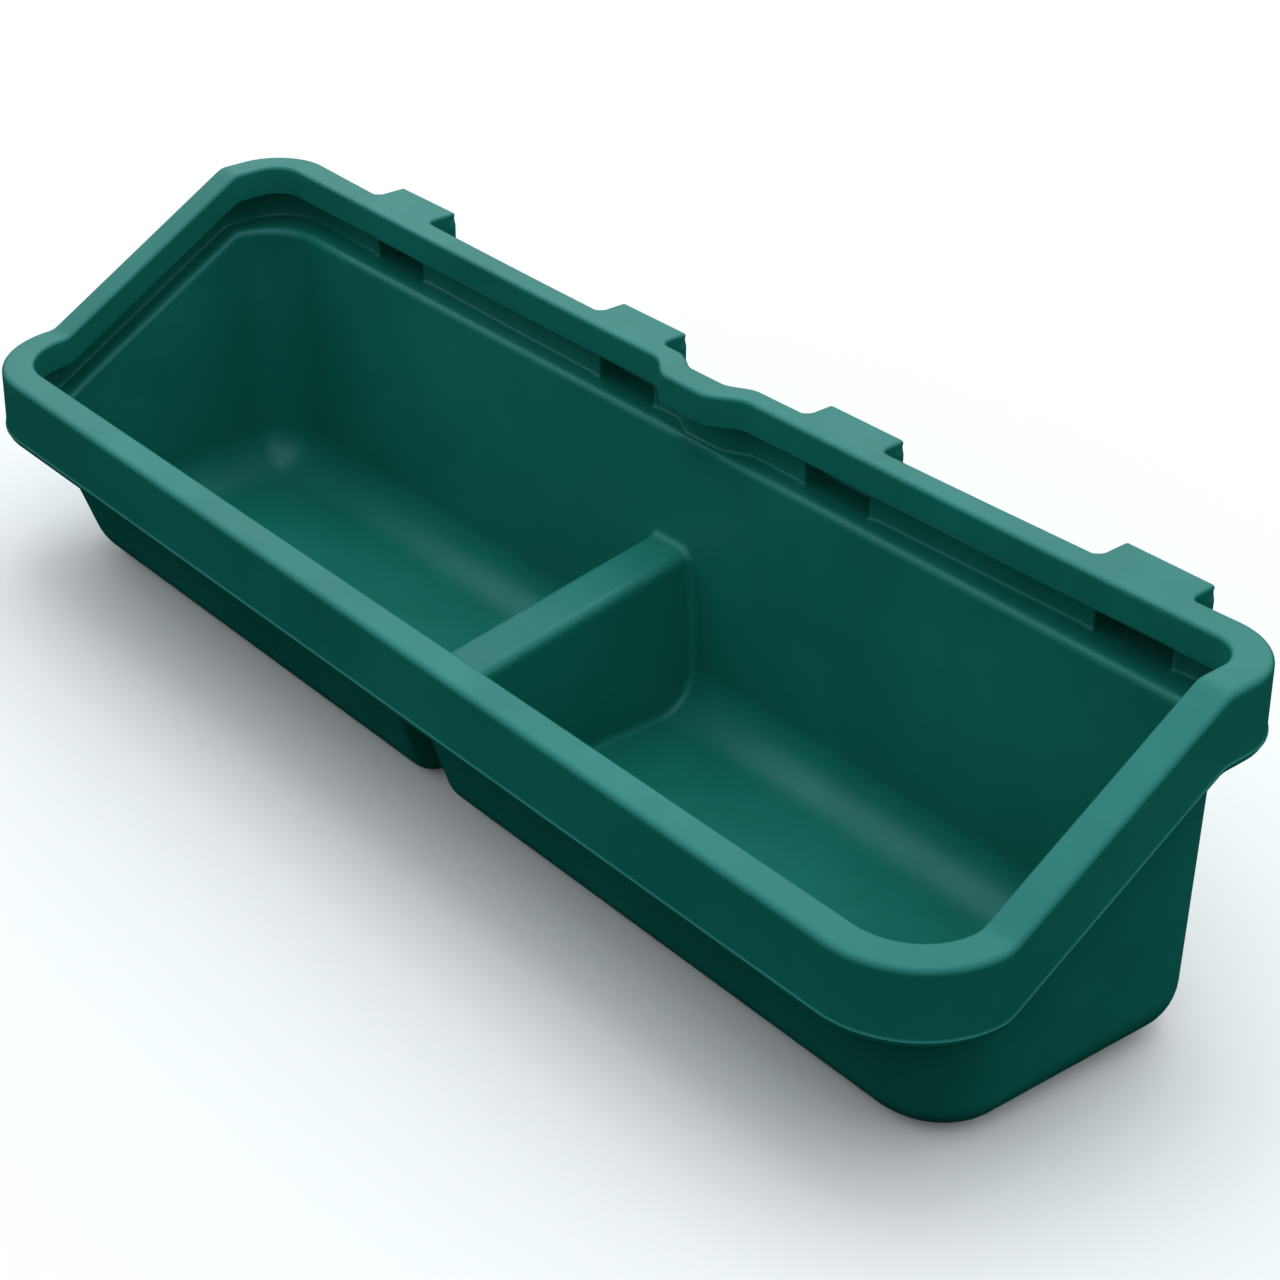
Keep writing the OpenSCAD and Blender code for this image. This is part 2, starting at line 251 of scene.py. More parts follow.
def mirrored(run):
    """The run on the other side of the middle, in the other order, so that it goes on round."""
    rim, tub, width = run
    flip = [-1, 1, -1, 1]
    return (rim * flip)[::-1], (tub * flip)[::-1], width[::-1]


def spread(a, b, step):
    return np.linspace(a, b, max(2, int(round(abs(b - a) / step)) + 1))


# ---- the rim's section -------------------------------------------------------------------
# A row [line, o, v]: line 0 is the rim's outer line, 1 its inner line and 2 the tub's; o is
# the distance outward from that line and v the height above the rim's top.

def arc_rows(line, o, v, r, start, stop, n):
    a = np.radians(np.linspace(start, stop, n + 1))
    return np.stack([0 * a + line, o + r * np.cos(a), v + r * np.sin(a)], 1)


def run_rows(line, o0, v0, o1, v1, n):
    t = np.linspace(0, 1, n + 1)[:-1]
    return np.stack([0 * t + line, o0 + (o1 - o0) * t, v0 + (v1 - v0) * t], 1)


def rim_section():
    """Up the outside from the joint with the tub, over the top and the lip, and down inside."""
    skirt = FLARE - RIDGE
    corner = WALL + CHANNEL_LIP_R
    underside = -SKIRT_H - FOOT_R
    return np.concatenate([
        run_rows(2, 0, -JOINT_H, 0, underside - FILLET, 2),
        arc_rows(2, FILLET, underside - FILLET, FILLET, 180, 90, 3),
        arc_rows(0, skirt - FOOT_R, -SKIRT_H, FOOT_R, -85, 0, 9),
        [[0, skirt, SEAM_V - RIDGE_FOOT_HALF], [0, FLARE, SEAM_V - RIDGE_HALF],
         [0, FLARE, SEAM_V + RIDGE_HALF], [0, skirt, SEAM_V + RIDGE_FOOT_HALF]],
        run_rows(0, skirt, SEAM_V + 2.2, 0, -TOP_R, 6),
        arc_rows(0, -TOP_R, -TOP_R, TOP_R, 0, 90, 10),
        arc_rows(1, LIP_R, -LIP_R, LIP_R, 90, 180, 7),
        run_rows(1, 0, -LIP_R - 2, 0, -LIP_H + 2, 3),
        arc_rows(1, LIP_EDGE_R, -LIP_H + LIP_EDGE_R, LIP_EDGE_R, 180, 270, 3),
        arc_rows(1, WALL - LIP_EDGE_R, -LIP_H + LIP_EDGE_R, LIP_EDGE_R, 270, 360, 3),
        run_rows(1, WALL, -LIP_H + 4, WALL, -corner, 3),
        arc_rows(1, corner, -corner, CHANNEL_LIP_R, 180, 90, 4),
        arc_rows(0, -WALL - CHANNEL_TOP_R, -WALL - CHANNEL_TOP_R, CHANNEL_TOP_R, 90, 0, 4),
        run_rows(0, -WALL, -WALL - 7, skirt - WALL, LEDGE + BEND_R + 2, 6),
        arc_rows(0, skirt - WALL - BEND_R, LEDGE + BEND_R, BEND_R, 0, -90, 5),
        arc_rows(2, -WALL + SHOULDER_R, LEDGE - SHOULDER_R, SHOULDER_R, 90, 180, 8),
        [[2, -WALL, (LEDGE - SHOULDER_R - JOINT_H) / 2], [2, -WALL, -JOINT_H]],
    ])


SECTION = rim_section()


def rim_point(rim, tub, width, row):
    """The section's row at stations of the rim, as [x, y, z]."""
    line, o, v = row
    if line == 2:
        base, out = tub, o
        if o > -WALL and v > LEDGE - SHOULDER_R:    # the shoulder narrows where the ledge does
            apart = ((rim[:, :2] - tub[:, :2]) * tub[:, 2:]).sum(1)
            room = np.clip((apart + FLARE - RIDGE - BEND_R - SHOULDER_GAP) / SHOULDER_R, 0.1, 1)
            out = (o + WALL) * room - WALL
    else:
        base, out = rim, o - (width if line == 1 else 0)
    x = base[:, 0] + base[:, 2] * out
    y = base[:, 1] + base[:, 3] * out
    return np.stack([x, y, rim_z(y) + v], 1)


# ---- the tub's walls ---------------------------------------------------------------------

def base_half(y):
    """Half of the tub's length at its base, which grows towards the back."""
    return BASE_HALF_FRONT + (BASE_HALF_BACK - BASE_HALF_FRONT) * np.clip(
        (y - BASE_FRONT) / (TUB_BACK - BASE_FRONT), 0, 1)


def tub_point(tub, level, inset):
    """Points of the wall: level -1 is the joint with the rim, 0 the top of the rounded bottom
    edge and 1 the floor. inset is how far inside the outer face they lie."""
    x, y, nx, ny = tub.T
    side = np.where(np.abs(x) > DIVIDER_HALF + 1e-6, np.sign(x), 0)
    fx = x - side * (TUB_HALF - base_half(y))
    fy = y + (BASE_FRONT - TUB_FRONT) * np.maximum(0, (TUB_BACK - y) / (TUB_BACK - TUB_FRONT))
    moved = np.maximum(0, nx * (x - fx) + ny * (y - fy))
    climb = rim_z(y) - JOINT_H + TOP_Z - BASE_R
    run = moved + BASE_R
    lean = np.arccos(BASE_R / np.hypot(climb, run)) - np.arctan2(climb, run)
    a = lean + (math.pi / 2 - lean) * max(level, 0)
    d = BASE_R - (BASE_R - inset) * np.cos(a)
    low = np.stack([fx - nx * d, fy - ny * d, BASE_R - TOP_Z - (BASE_R - inset) * np.sin(a)], 1)
    if level >= 0:
        return low
    jx, jy = x - nx * inset, y - ny * inset
    top = np.stack([jx, jy, rim_z(jy) - JOINT_H], 1)
    return top + (low - top) * (1 + level)


LEVELS = np.concatenate([np.linspace(-1, 0, 9), np.linspace(0, 1, 15)[1:]])


# ---- skins: points and faces, welded before their normals are worked out ------------------

class Skin:
    """The moulding's surface. A face has the name of the node that it belongs to."""

    def __init__(self):
        self.points, self.quads, self.owners, self.caps = [], [], [], []
        self.count = 0

    def add_points(self, points):
        first = self.count
        self.points.append(np.asarray(points, float))
        self.count += len(points)
        return first

    def add_quads(self, quads, owner):
        quads = np.asarray(quads, int).reshape(-1, 4)
        self.quads.append(quads)
        self.owners += [owner] * len(quads)

    def add_cap(self, face, owner):
        """A flat face across the wall, with its own normal."""
        self.caps.append((list(face), owner))

    def add_floor(self, face, owner):
        """A flat many-sided face that belongs to the smooth skin."""
        self.caps.append((list(face), owner + "*"))


def grid_quads(first, rows, columns):
    """Quads of a grid of points stored row by row."""
    r, c = np.meshgrid(np.arange(rows - 1), np.arange(columns - 1), indexing="ij")
    a = first + r * columns + c
    return np.stack([a, a + 1, a + 1 + columns, a + columns], -1).reshape(-1, 4)


def sweep_rim(skin, run, owner):
    """A stretch of the rim, closed at its ends and at its joint with the tub."""
    rim, tub, width = run
    n = len(rim)
    rows = np.concatenate([rim_point(rim, tub, width, row) for row in SECTION])
    first = skin.add_points(rows)
    m = len(SECTION)
    skin.add_quads(grid_quads(first, m, n), owner)
    skin.add_cap([first + k * n for k in range(m)], owner)
    skin.add_cap([first + k * n + n - 1 for k in reversed(range(m))], owner)
    last = first + (m - 1) * n
    for i in range(n - 1):
        skin.add_cap([first + i + 1, first + i, last + i, last + i + 1], owner)


def sweep_bay(skin, tub, owner):
    """A bay's walls and floor, from the middle of the front round to that of the back."""
    n = len(tub)
    m = len(LEVELS)
    firsts = {}
    for inset in (0, WALL):
        first = skin.add_points(np.concatenate([tub_point(tub, k, inset) for k in LEVELS]))
        quads = grid_quads(first, m, n)
        ring = [first + (m - 1) * n + i for i in range(n)]
        skin.add_quads(quads[:, ::-1] if inset == 0 else quads, owner)
        skin.add_floor(ring if inset else ring[::-1], owner)
        firsts[inset] = first
    outer, inner = firsts[0], firsts[WALL]
    for i in range(n - 1):
        skin.add_cap([outer + i, outer + i + 1, inner + i + 1, inner + i], owner)
    down = [k * n for k in range(m)]
    side = [outer + k for k in down] + [outer + k + n - 1 for k in reversed(down)]
    side += [inner + k + n - 1 for k in down] + [inner + k for k in reversed(down)]
    skin.add_cap(side[::-1], owner)


# ---- shapes given by a distance: negative inside ------------------------------------------

def round_union(a, b, r):
    return np.maximum(r, np.minimum(a, b)) - np.hypot(np.maximum(r - a, 0), np.maximum(r - b, 0))


def round_common(a, b, r):
    return -round_union(-a, -b, r)


def box_distance(p, low, high, r):
    """A box with rounded edges."""
    d = []
    for k in range(3):
        centre, half = (low[k] + high[k]) / 2, (high[k] - low[k]) / 2 - r
        d.append(np.abs(p[k] - centre) - half)
    outside = np.sqrt(sum(np.maximum(v, 0) ** 2 for v in d))
    return outside + np.minimum(np.maximum(np.maximum(d[0], d[1]), d[2]), 0) - r


def outline_distance(y, z, outline):
    """Distance to a closed outline of [y, z] points, whose y may change from point to point."""
    best = np.full(np.shape(y), 1e9)
    inside = np.zeros(np.shape(y), bool)
    for (ay, az), (by, bz) in zip(outline, outline[1:] + outline[:1]):
        ey, ez = by - ay, bz - az
        length = np.maximum(ey * ey + ez * ez, 1e-12)
        t = np.clip(((y - ay) * ey + (z - az) * ez) / length, 0, 1)
        best = np.minimum(best, (y - ay - t * ey) ** 2 + (z - az - t * ez) ** 2)
        if az != bz:
            crosses = (az > z) != (bz > z)
            inside ^= crosses & (y < ay + (z - az) * ey / ez)
    return np.where(inside, -1, 1) * np.sqrt(best)


def back_section(x):
    """The rim's section at x on the back rail, as an outline that goes on down the wall."""
    lines = {0: back_outer(x), 1: back_inner(x), 2: TUB_BACK}
    wall_end = RISE - JOINT_H - 30
    outline = [(lines[int(k)] + o, RISE + v) for k, o, v in SECTION]
    return [(TUB_BACK, wall_end)] + outline + [(TUB_BACK - WALL, wall_end)]


def hook_field(name):
    """A hook and the rim around it: an arm, a flat top plate and a tongue, hollow inside."""
    x0, x1 = HOOK_SPANS[name]
    y1 = HOOK_BACK[name]
    middle = float(back_outer((x0 + x1) / 2))
    under = RISE - SKIRT_H - FOOT_R

    def field(p):
        x, y, z = p
        rim = outline_distance(y, z, back_section(x))
        arm = box_distance(p, (x0, middle - ARM_START, under), (x1, y1, RISE), HOOK_EDGE_R)
        plate = box_distance(p, (x0, middle - PLATE_START, RISE - WALL), (x1, y1, RISE),
                             PLATE_EDGE_R)
        tongue = box_distance(p, (x0, y1 - TONGUE_T, TONGUE_LOW), (x1, y1, RISE - TONGUE_TOP),
                              HOOK_EDGE_R)
        body = np.minimum(round_union(arm, tongue, ARM_BLEND), plate)
        hollow = box_distance(p, (x0 + WALL, middle - HOLLOW_START, under + WALL),
                              (x1 - WALL, y1 - WALL, RISE - WALL), HOOK_HOLLOW_R)
        whole = np.maximum(round_union(rim, body, RIM_BLEND), np.maximum(z - RISE, y - y1))
        return round_common(whole, -hollow, 1)
    return field


def fold_distance(p, inset, r):
    """The ridge between the bays, made smaller by inset, with its crest's edges rounded by r."""
    x, y, z = p
    slope = (CREST_BACK - CREST_FRONT) / (TUB_BACK - TUB_FRONT)
    below = (CREST_FRONT + slope * (y - TUB_FRONT) - z) / math.hypot(1, slope)
    side = np.abs(x) - SIDE_HALF - SIDE_TAPER * np.maximum(below, 0) + inset
    return round_common(side, inset - below, r)


def tub_outline(inset):
    """The tub's outline at its middle, inset inside its outer face and open at the top."""
    front = np.array([[0, TUB_FRONT, 0, -1.0]])
    back = np.array([[0, TUB_BACK, 0, 1.0]])
    down = [tub_point(front, k, inset)[0] for k in LEVELS]
    up = [tub_point(back, k, inset)[0] for k in LEVELS[::-1]]
    line = [(p[1], p[2]) for p in down + up]
    return [(line[0][0], line[0][1] + 60)] + line + [(line[-1][0], RISE + 60)]


TUB_OUTER = tub_outline(0)
TUB_INNER = tub_outline(WALL)


def divider_field(p):
    x, y, z = p
    flat = (y[:1], z[:1]) if np.ndim(y) == 3 else (y, z)
    outer = outline_distance(*flat, TUB_OUTER)
    inner = outline_distance(*flat, TUB_INNER)
    cavity = round_common(inner, -fold_distance(p, 0, CREST_R), FOLD_R)
    outside = round_common(outer, -fold_distance(p, WALL, CREST_R_BELOW), FOLD_R)
    return np.maximum(outside, -cavity)


def implicit_skin(field, low, step, counts, keep, planes):
    """The surface of a field over a grid of cells, by surface nets, moved onto the field's
    zero. low is the first cell's centre. The points of the cells at a plane (axis, value) are
    put on it; at a level plane, only those that keep.on_plane names."""
    axes = [low[k] + (np.arange(counts[k] + 1) - 0.5) * step[k] for k in range(3)]
    mesh = np.meshgrid(*axes, indexing="ij")
    f = field(mesh)
    cell = tuple(slice(0, -1) for _ in range(3))
    corners = [(a, b, c) for a in (0, 1) for b in (0, 1) for c in (0, 1)]

    def at(o):
        return tuple(slice(o[k], o[k] + counts[k]) for k in range(3))
    negative = sum((f[at(o)] < 0).astype(int) for o in corners)
    centres = [mesh[k][cell] + step[k] / 2 for k in range(3)]
    active = (negative > 0) & (negative < 8) & keep(*centres)
    index = np.full(active.shape, -1)
    index[active] = np.arange(active.sum())
    where = np.nonzero(active)
    total = np.zeros((len(where[0]), 3))
    crossings = np.zeros(len(where[0]))
    for a in corners:
        for axis in range(3):
            if a[axis]:
                continue
            b = tuple(1 if k == axis else a[k] for k in range(3))
            fa = f[tuple(where[k] + a[k] for k in range(3))]
            fb = f[tuple(where[k] + b[k] for k in range(3))]
            cross = (fa < 0) != (fb < 0)
            t = np.where(cross, fa / np.where(cross, fa - fb, 1), 0)
            point = np.stack([np.full(len(t), float(v)) for v in a], 1)
            point[:, axis] += t
            total += point * cross[:, None]
            crossings += cross
    points = np.stack([axes[k][where[k]] for k in range(3)], 1)
    points += total / crossings[:, None] * step
    free = np.ones_like(points)
    for axis, value in planes:
        near = np.abs(low[axis] + where[axis] * step[axis] - value) < AT_PLANE * step[axis]
        if axis == 2:
            near &= keep.on_plane(points, value)
        points[near, axis] = value
        free[near, axis] = 0
    for _ in range(NEWTON_ROUNDS):
        points -= newton_step(field, points, free)
    return points, net_quads(f, index, counts)


def net_quads(f, index, counts):
    """A quad for each edge of the grid that the surface crosses, facing away from negative."""
    quads = []
    for axis in range(3):
        u, v = [k for k in range(3) if k != axis]
        size = list(counts)
        lo = [slice(0, counts[k]) for k in range(3)]
        lo[u], lo[v] = slice(1, size[u]), slice(1, size[v])
        hi = list(lo)
        lo[axis], hi[axis] = slice(0, size[axis]), slice(1, size[axis] + 1)
        fa, fb = f[tuple(lo)], f[tuple(hi)]
        ring = []
        for du, dv in ((1, 1), (0, 1), (0, 0), (1, 0)):
            s = [slice(0, counts[k]) for k in range(3)]
            s[u] = slice(1 - du, size[u] - du)
            s[v] = slice(1 - dv, size[v] - dv)
            ring.append(index[tuple(s)])
        ring = np.stack(ring, -1)
        whole = (ring >= 0).all(-1)
        for sign in (1, -1):
            crossing = whole & ((fa < 0) & (fb >= 0) if sign > 0 else (fa >= 0) & (fb < 0))
            q = ring[crossing]
            turn = (sign > 0) == (axis != 1)
            quads.append(q if turn else q[:, ::-1])
    return np.concatenate(quads)


NEWTON_ROUNDS = 6
SLOPE_STEP = 0.05
LEAST_SLOPE = 0.2          # least square of a slope, so that a flat spot makes no great step
LONGEST_MOVE = 1.5


def newton_step(field, points, free):
    """How far each point has to move, along the field's slope, to come to its zero."""
    f = field(points.T)
    slope = np.zeros_like(points)
    for k in range(3):
        moved = points.copy()
        moved[:, k] += SLOPE_STEP
        slope[:, k] = (field(moved.T) - f) / SLOPE_STEP
    slope *= free
    size = np.maximum((slope ** 2).sum(1), LEAST_SLOPE)
    return np.clip(f / size, -LONGEST_MOVE, LONGEST_MOVE)[:, None] * slope


# ---- the whole moulding --------------------------------------------------------------------

class Kept:
    """Which cells of a grid belong to a piece."""

    def __init__(self, test, on_plane):
        self.test, self.on_plane = test, on_plane

    def __call__(self, x, y, z):
        return self.test(x, y, z)


def hook_cuts(name):
    x0, x1 = HOOK_SPANS[name]
    return x0 - HOOK_MARGIN, x1 + HOOK_MARGIN


def add_hook(skin, name):
    """A hook with its stretch of the back rail, as one blend down to the joint with the tub."""
    x0, x1 = hook_cuts(name)
    joint = RISE - JOINT_H
    y_low = float(min(back_inner(x0), back_inner(x1))) - 6
    steps_x = int(round((x1 - x0) / HOOK_STEP_X))
    step = ((x1 - x0) / steps_x, HOOK_STEP_Y, (joint + HOOK_ROWS_DOWN) / HOOK_ROWS)
    rows_below = int(math.ceil((joint - TONGUE_LOW + SPARE) / step[2]))
    low = (x0, y_low, joint - rows_below * step[2])
    counts = (steps_x + 1, int((HOOK_BACK[name] + 6 - y_low) / step[1]),
              rows_below + int(math.ceil((RISE + SPARE - joint) / step[2])) + 1)
    behind = TUB_BACK + 8           # between the tub's back wall and the tongue
    keep = Kept(lambda x, y, z: (z > joint - AT_PLANE) | (y > behind),
                lambda p, value: p[:, 1] < behind)
    points, quads = implicit_skin(hook_field(name), low, step, counts, keep,
                                  [(0, x0), (0, x1), (2, joint)])
    first = skin.add_points(points)
    skin.add_quads(first + quads, name)


def add_divider(skin):
    """The tub's stretch at the middle, with the ridge between the bays and its hollow."""
    joint_back = RISE - JOINT_H
    step = (FOLD_STEP, FOLD_STEP, RISE / FOLD_ROWS)
    rows_below = int(math.ceil((TOP_Z - JOINT_H + SPARE) / step[2]))
    low = (-DIVIDER_HALF, TUB_FRONT - 7, -JOINT_H - rows_below * step[2])
    counts = (int(round(2 * DIVIDER_HALF / step[0])) + 1,
              int((TUB_BACK - TUB_FRONT + 16) / step[1]), rows_below + FOLD_ROWS + 1)
    halfway = (TUB_FRONT + TUB_BACK) / 2

    def under_joint(x, y, z):
        behind = (y > halfway) & (z < joint_back + AT_PLANE)
        return (z < -JOINT_H + AT_PLANE) | behind
    keep = Kept(under_joint, lambda p, value: (p[:, 1] < halfway) == (value < 0))
    points, quads = implicit_skin(divider_field, low, step, counts, keep,
                                  [(0, -DIVIDER_HALF), (0, DIVIDER_HALF), (2, -JOINT_H),
                                   (2, joint_back)])
    first = skin.add_points(points)
    skin.add_quads(first + quads, "divider")


def back_rail_spans():
    """The stretches of back rail between the hooks, from the right to the left."""
    cuts = [BACK_CUT]
    for name in reversed(HOOKS):
        left, right = hook_cuts(name)
        cuts += [right, left]
    cuts.append(-BACK_CUT)
    return [(f"back_rail_{5 - i}", cuts[2 * i], cuts[2 * i + 1]) for i in range(5)]


def build_skin():
    skin = Skin()
    corner, side, far = front_corner(), end_run(), back_corner()
    front = spread(DIVIDER_HALF, FRONT_CUT, STRAIGHT_STEP)
    sweep_rim(skin, front_run(np.concatenate([-front[::-1], front])), "front_rail")
    for run, owner in ((corner, "front_right_corner"), (side, "right_end_rail"),
                       (far, "back_right_corner")):
        sweep_rim(skin, run, owner)
        sweep_rim(skin, mirrored(run), owner.replace("right", "left"))
    for owner, right, left in back_rail_spans():
        step = SCOOP_STEP if left < SCOOP_X < right else BACK_STEP
        sweep_rim(skin, back_run(spread(right, left, step)), owner)
    for name in HOOKS:
        add_hook(skin, name)
    front_tub = front_run(front)[1]
    back_tub = back_run(spread(BACK_CUT, DIVIDER_HALF, BACK_STEP))[1]
    bay = np.concatenate([front_tub[:-1], corner[1], side[1][1:-1], far[1], back_tub[1:]])
    sweep_bay(skin, bay, "right_bay")
    sweep_bay(skin, (bay * [-1, 1, -1, 1])[::-1], "left_bay")
    add_divider(skin)
    return skin


def smooth_normals(points, quads, floors):
    """Normals of the welded skin, each face counted by its area."""
    normals = np.zeros_like(points)
    a, b, c, d = (points[quads[:, k]] for k in range(4))
    face = np.cross(c - a, d - b)
    for k in range(4):
        np.add.at(normals, quads[:, k], face)
    for ring in floors:
        p = points[ring]
        whole = np.cross(p, np.roll(p, -1, 0)).sum(0)
        normals[ring] += whole
    return normals / np.maximum(np.linalg.norm(normals, axis=1, keepdims=True), 1e-12)


def flat_normals(points, face):
    """A flat face's own normal, once for each of its corners."""
    p = points[face]
    n = np.cross(p, np.roll(p, -1, 0)).sum(0)
    return [n / max(np.linalg.norm(n), 1e-12)] * len(face)


def cut_pieces(skin):
    """One closed mesh for each node: {name: (points, faces, one normal for each corner)}."""
    points = np.concatenate(skin.points)
    keys = np.round(points / WELD).astype(np.int64)
    _, first, weld = np.unique(keys, axis=0, return_index=True, return_inverse=True)
    weld = weld.reshape(-1)
    points = points[first]
    quads = weld[np.concatenate(skin.quads)]
    owners = np.array(skin.owners)
    whole = (np.diff(np.sort(quads, 1), axis=1) > 0).all(1)
    caps = [(weld[np.array(face)], owner) for face, owner in skin.caps]
    normals = smooth_normals(points, quads, [f for f, o in caps if o.endswith("*")])
    pieces = {}
    for name in dict.fromkeys(skin.owners):
        own = owners == name
        folded = [[v for v, w in zip(q, q[-1:] + q[:-1]) if v != w]
                  for q in quads[own & ~whole].tolist()]
        faces = quads[own & whole].tolist() + [f for f in folded if len(f) == len(set(f)) == 3]
        corner_normals = list(normals[np.concatenate([np.array(f) for f in faces])])
        for face, owner in caps:
            if owner.rstrip("*") != name:
                continue
            face = [v for v, w in zip(face, np.roll(face, 1)) if v != w]
            faces.append(face)
            in_skin = owner.endswith("*")
            corner_normals += list(normals[face]) if in_skin else flat_normals(points, face)
        if name in HOOKS or name == "divider":
            for face in open_ends(points, faces):
                faces.append(face)
                corner_normals += flat_normals(points, face)
        used, index = np.unique(np.concatenate([np.array(f) for f in faces]), return_inverse=True)
        starts = np.cumsum([0] + [len(f) for f in faces])
        local = [index[a:b].tolist() for a, b in zip(starts[:-1], starts[1:])]
        pieces[name] = (points[used], local, np.array(corner_normals))
    return pieces


def open_ends(points, faces):
    """Flat faces that close a skin where it was cut: one for each cutting plane."""
    edges = {(a, b) for f in faces for a, b in zip(f, f[1:] + f[:1])}
    after = {b: a for a, b in edges if (b, a) not in edges}
    ends = []
    planes = {}
    for b, a in after.items():
        same = np.abs(points[a] - points[b]) < 1e-4
        for axis in (0, 2):
            if same[axis]:
                planes.setdefault((axis, round(float(points[a][axis]), 2)), {})[b] = a
                break
    for links in planes.values():
        starts = [v for v in links if v not in set(links.values())]
        ring = []
        for start in starts or [next(iter(links))]:
            v = start
            ring.append(v)
            while v in links and links[v] != start:
                v = links[v]
                ring.append(v)
        ends.append(ring)
    return [ring for ring in ends if len(ring) > 2]


# ---- material --------------------------------------------------------------------------------

def node(tree, kind, **settings):
    made = tree.nodes.new(kind)
    for name, value in settings.items():
        setattr(made, name, value)
    return made


def feed(tree, source, target):
    tree.links.new(source, target)


def noise(tree, coords, scale, detail=3.0, rough=0.5):
    n = node(tree, "ShaderNodeTexNoise")
    n.inputs["Scale"].default_value = scale
    n.inputs["Detail"].default_value = detail
    n.inputs["Roughness"].default_value = rough
    feed(tree, coords, n.inputs["Vector"])
    return n.outputs["Fac"]


def ramp_node(tree, source, stops):
    r = node(tree, "ShaderNodeValToRGB")
    elements = r.color_ramp.elements
    while len(elements) < len(stops):
        elements.new(0.5)
    for element, (at, colour) in zip(elements, stops):
        element.position = at
        element.color = (*colour, 1) if len(colour) == 3 else colour
    feed(tree, source, r.inputs["Fac"])
    return r.outputs["Color"]


def math_node(tree, operation, a, b):
    m = node(tree, "ShaderNodeMath", operation=operation)
    for socket, value in zip(m.inputs, (a, b)):
        if isinstance(value, (int, float)):
            socket.default_value = value
        else:
            feed(tree, value, socket)
    return m.outputs[0]


def bump(tree, height, strength, distance, normal=None):
    b = node(tree, "ShaderNodeBump")
    b.inputs["Strength"].default_value = strength
    b.inputs["Distance"].default_value = distance
    feed(tree, height, b.inputs["Height"])
    if normal is not None:
        feed(tree, normal, b.inputs["Normal"])
    return b.outputs["Normal"]


BASE_DEEP = (0.0045, 0.128, 0.092)
BASE_PALE = (0.0070, 0.158, 0.116)
RUB_COLOUR = (0.04, 0.25, 0.21, 1)
RUB_STRENGTH = 0.10
SHEEN_TINT = (0.55, 0.88, 1, 1)
ROUGH_LEAST = 0.33
ROUGH_SPREAD = 0.14


def polyethylene():
    """Rotationally moulded polyethylene: an even deep green with a satin skin that is never
    quite flat, a fine mould texture, slight changes of tone, and faint paler rubs."""
    m = bpy.data.materials.new("moulded_polyethylene")
    m.use_nodes = True
    tree = m.node_tree
    shader = tree.nodes["Principled BSDF"]
    coords = node(tree, "ShaderNodeTexCoord").outputs["Object"]
    broad = noise(tree, coords, scale=6.0, detail=4.0, rough=0.6)
    tone = ramp_node(tree, broad, [(0.32, BASE_DEEP), (0.68, BASE_PALE)])
    patches = noise(tree, coords, scale=38.0, detail=5.0, rough=0.65)
    rubbed = ramp_node(tree, patches, [(0.55, (0, 0, 0)), (0.80, (1, 1, 1))])
    mix = node(tree, "ShaderNodeMixRGB")
    feed(tree, math_node(tree, "MULTIPLY", rubbed, RUB_STRENGTH), mix.inputs["Fac"])
    feed(tree, tone, mix.inputs["Color1"])
    mix.inputs["Color2"].default_value = RUB_COLOUR
    feed(tree, mix.outputs["Color"], shader.inputs["Base Color"])
    uneven = noise(tree, coords, scale=22.0, detail=4.0, rough=0.6)
    rough = math_node(tree, "MULTIPLY_ADD", uneven, ROUGH_SPREAD)
    rough.node.inputs[2].default_value = ROUGH_LEAST
    feed(tree, rough, shader.inputs["Roughness"])
    sway = noise(tree, coords, scale=7.0, detail=1.0, rough=0.4)
    peel = noise(tree, coords, scale=130.0, detail=3.0, rough=0.55)
    grain = noise(tree, coords, scale=900.0, detail=2.0, rough=0.5)
    normal = bump(tree, sway, strength=0.25, distance=0.004)
    normal = bump(tree, peel, strength=0.18, distance=0.0008, normal=normal)
    normal = bump(tree, grain, strength=0.15, distance=0.00015, normal=normal)
    feed(tree, normal, shader.inputs["Normal"])
    shader.inputs["IOR"].default_value = 1.5
    shader.inputs["Specular IOR Level"].default_value = 0.42
    shader.inputs["Specular Tint"].default_value = SHEEN_TINT
    return m


# ---- pieces ----------------------------------------------------------------------------------

def make_piece(name, points, faces, corner_normals, material):
    mesh = bpy.data.meshes.new(name + "_moulded")
    place = (points + [0, FRONT_Y, TOP_Z]) * MM
    mesh.from_pydata(place.tolist(), [], faces)
    mesh.polygons.foreach_set("use_smooth", [True] * len(faces))
    mesh.materials.append(material)
    mesh.update()
    mesh.normals_split_custom_set(corner_normals.tolist())
    piece = bpy.data.objects.new(name + "_moulded", mesh)
    bpy.context.scene.collection.objects.link(piece)
    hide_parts(name)
    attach(piece, "root")
    return piece


# ---- studio ----------------------------------------------------------------------------------

LENS = 73.06               # mm, on a sensor 36 mm wide
SENSOR = 36.0
CAMERA_AZIMUTH = math.radians(49.46)
CAMERA_ELEVATION = math.radians(31.194)
CAMERA_ROLL = math.radians(0.576)
CAMERA_AT = (1421.66, -926.19, 998.84)     # in the rim's frame

FLOOR_SIZE = 24            # metres
FLOOR_COLOUR = (0.80, 0.735, 0.705, 1)
DOME_COLOUR = (0.78, 0.92, 1)
DOME_STRENGTH = 0.8
DOME_FOOT = 0.2            # the dome has its full colour above this share of its height
LIGHT_COLOUR = (0.84, 0.94, 1)
LIGHTS = (("overhead", 1.9, 120), ("skylight", 0.55, 34))   # name, power, width in degrees
LIGHT_TILT = (math.radians(-10), math.radians(-6), 0)


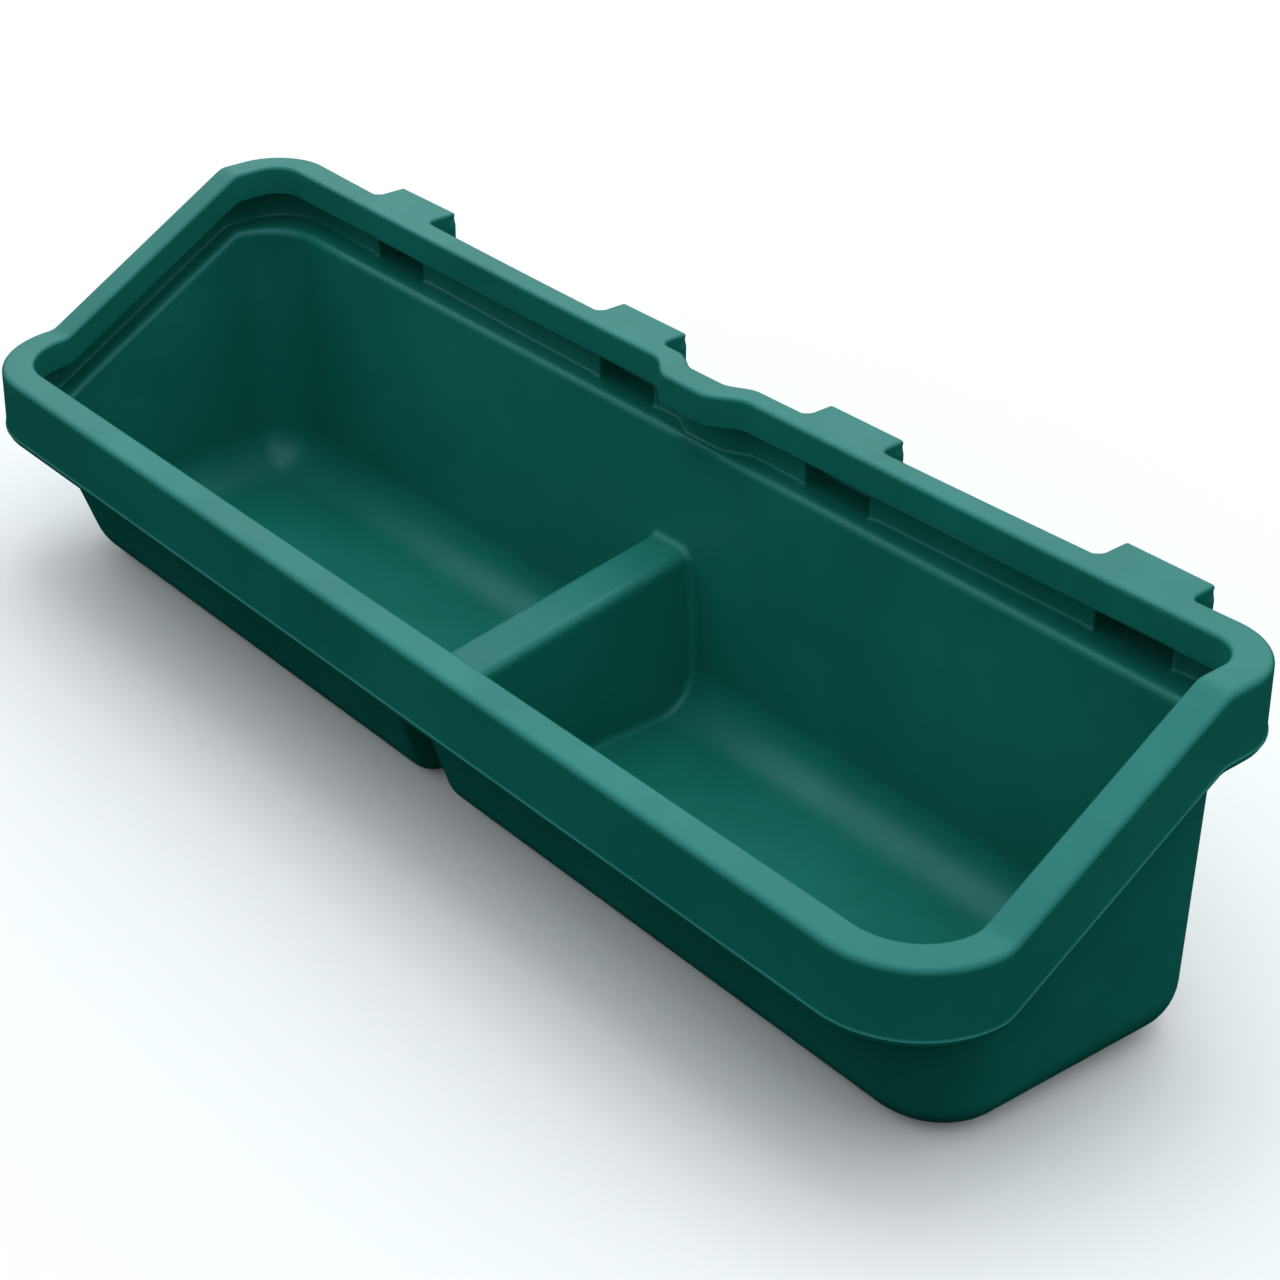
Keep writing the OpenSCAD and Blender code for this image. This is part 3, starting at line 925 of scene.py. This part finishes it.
def make_camera():
    data = bpy.data.cameras.new("camera")
    data.lens = LENS
    data.sensor_width = SENSOR
    camera = bpy.data.objects.new("camera", data)
    bpy.context.scene.collection.objects.link(camera)
    back = Vector((math.sin(CAMERA_AZIMUTH) * math.cos(CAMERA_ELEVATION),
                   -math.cos(CAMERA_AZIMUTH) * math.cos(CAMERA_ELEVATION),
                   math.sin(CAMERA_ELEVATION)))
    x = Vector((0, 0, 1)).cross(back).normalized()
    y = back.cross(x)
    across = math.cos(CAMERA_ROLL) * x + math.sin(CAMERA_ROLL) * y
    up = math.cos(CAMERA_ROLL) * y - math.sin(CAMERA_ROLL) * x
    turn = Matrix((across, up, back)).transposed().to_4x4()
    at = (Vector(CAMERA_AT) + Vector((0, FRONT_Y, TOP_Z))) * MM
    camera.matrix_world = Matrix.Translation(at) @ turn
    bpy.context.scene.camera = camera


def make_floor():
    """A pale floor that throws no light up onto the trough and isn't mirrored in it."""
    bpy.ops.mesh.primitive_plane_add(size=FLOOR_SIZE, location=(0, 0, 0))
    floor = bpy.context.object
    floor.name = "studio_floor"
    floor.visible_glossy = False
    floor.visible_diffuse = False
    m = bpy.data.materials.new("pale_floor")
    m.use_nodes = True
    shader = m.node_tree.nodes["Principled BSDF"]
    shader.inputs["Base Color"].default_value = FLOOR_COLOUR
    shader.inputs["Roughness"].default_value = 0.9
    shader.inputs["Specular IOR Level"].default_value = 0.1
    floor.data.materials.append(m)


def make_lights():
    """Two slightly cool lights overhead, one very wide and one less so, under a dome that is
    dark at its foot."""
    world = bpy.data.worlds.new("studio")
    world.use_nodes = True
    tree = world.node_tree
    split = node(tree, "ShaderNodeSeparateXYZ")
    feed(tree, node(tree, "ShaderNodeTexCoord").outputs["Generated"], split.inputs[0])
    dome = ramp_node(tree, split.outputs["Z"], [(0.0, (0, 0, 0)), (DOME_FOOT, DOME_COLOUR)])
    feed(tree, dome, tree.nodes["Background"].inputs["Color"])
    tree.nodes["Background"].inputs["Strength"].default_value = DOME_STRENGTH
    bpy.context.scene.world = world
    for name, power, width in LIGHTS:
        data = bpy.data.lights.new(name, "SUN")
        data.energy = power
        data.angle = math.radians(width)
        data.color = LIGHT_COLOUR
        light = bpy.data.objects.new(name, data)
        light.rotation_euler = LIGHT_TILT
        bpy.context.scene.collection.objects.link(light)
    bpy.context.scene.view_settings.view_transform = "Standard"


skin = build_skin()
plastic = polyethylene()
for piece_name, (piece_points, piece_faces, piece_normals) in cut_pieces(skin).items():
    make_piece(piece_name, piece_points, piece_faces, piece_normals, plastic)
make_floor()
make_lights()
make_camera()
